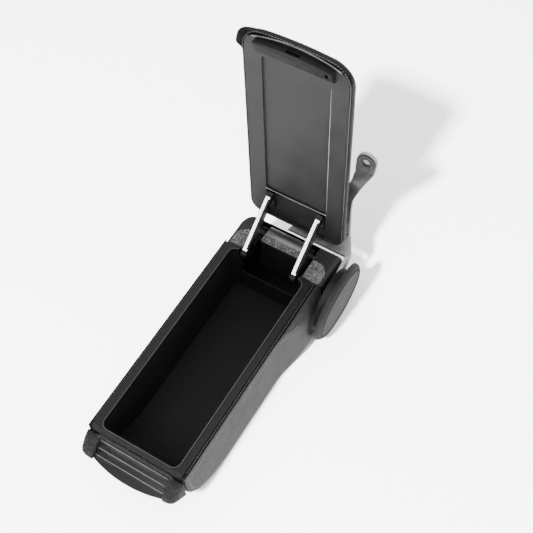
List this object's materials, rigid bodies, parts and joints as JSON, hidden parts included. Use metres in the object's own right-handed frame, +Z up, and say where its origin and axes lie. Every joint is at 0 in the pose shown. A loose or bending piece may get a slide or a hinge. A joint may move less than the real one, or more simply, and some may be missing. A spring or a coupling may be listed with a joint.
{
  "type": "car centre armrest",
  "caption": "Padded car centre armrest: a storage box with a lid that opens on two gooseneck arms, a press button at the front and a folding steel bracket on the hub.",
  "frame": {"origin": "middle of the flat underside that the box rests on", "axes": "+Z up, +Y along the box to its hub, +X to the right of someone facing the hub"},
  "size_m": [0.1605, 0.398, 0.3952],
  "materials": {
    "shell_plastic": "fine matt",
    "bin_plastic": "smooth matt",
    "rim_plastic": "satin sheen",
    "side_leather": "fine grain",
    "lid_leather": "fine grain",
    "grained_plastic": "coarse grain",
    "hub_plastic": "satin",
    "button_plastic": "satin sheen",
    "panel_plastic": "satin",
    "board": "pressed board",
    "arm_black": "black paint",
    "arm_chrome": "polished",
    "bracket_steel": "bright zinc",
    "pin_steel": "turned",
    "pad_plastic": "matt"
  },
  "bodies": {
    "armrest": {"box_shell": "shell_plastic", "inner_bin": "bin_plastic", "rim_piping": "side_leather", "side_cover_left": "side_leather", "side_cover_right": "side_leather", "front_frame": "grained_plastic", "button_pin": "pin_steel", "button_spring": "pin_steel", "shoulder_pads": "grained_plastic", "hub_housing": "hub_plastic", "hub_neck": "hub_plastic", "hub_cover": "hub_plastic", "cover_disc": "hub_plastic", "hinge_frame": "bracket_steel", "hinge_barrel": "bracket_steel", "hinge_bridge": "bin_plastic", "lid_pin": "pin_steel", "fold_shaft": "pin_steel", "disc_springs": "pin_steel", "shaft_nut": "pin_steel", "box_screws": "pin_steel"},
    "button": {"latch_button": "button_plastic"},
    "lid": {"lid_panel": "panel_plastic", "lid_board": "board", "lid_cushion": "lid_leather", "latch_bar": "rim_plastic", "hinge_arm_left": "arm_black", "hinge_arm_right": "arm_black", "arm_trim_left": "arm_chrome", "arm_trim_right": "arm_chrome", "arm_screws": "pin_steel"},
    "bracket": {"bracket_frame": "bracket_steel", "bracket_leg": "bracket_steel", "leg_pad": "pad_plastic", "leg_rivets": "pin_steel"}
  },
  "joints": [
    {"name": "lid_hinge", "type": "hinge", "parent": "armrest", "child": "lid", "pos_m": [0, 0.1525, 0.0734], "axis": [1, 0, 0], "range_deg": [0, 91.6]},
    {"name": "button_press", "type": "hinge", "parent": "armrest", "child": "button", "pos_m": [0, -0.1735, 0.072], "axis": [1, 0, 0], "range_deg": [0, 6], "stiffness_Nm_per_rad": 0.15, "springref_deg": -8.59},
    {"name": "bracket_fold", "type": "hinge", "parent": "armrest", "child": "bracket", "pos_m": [0, 0.123, 0.054], "axis": [1, 0, 0], "range_deg": [-130, 0]}
  ]
}
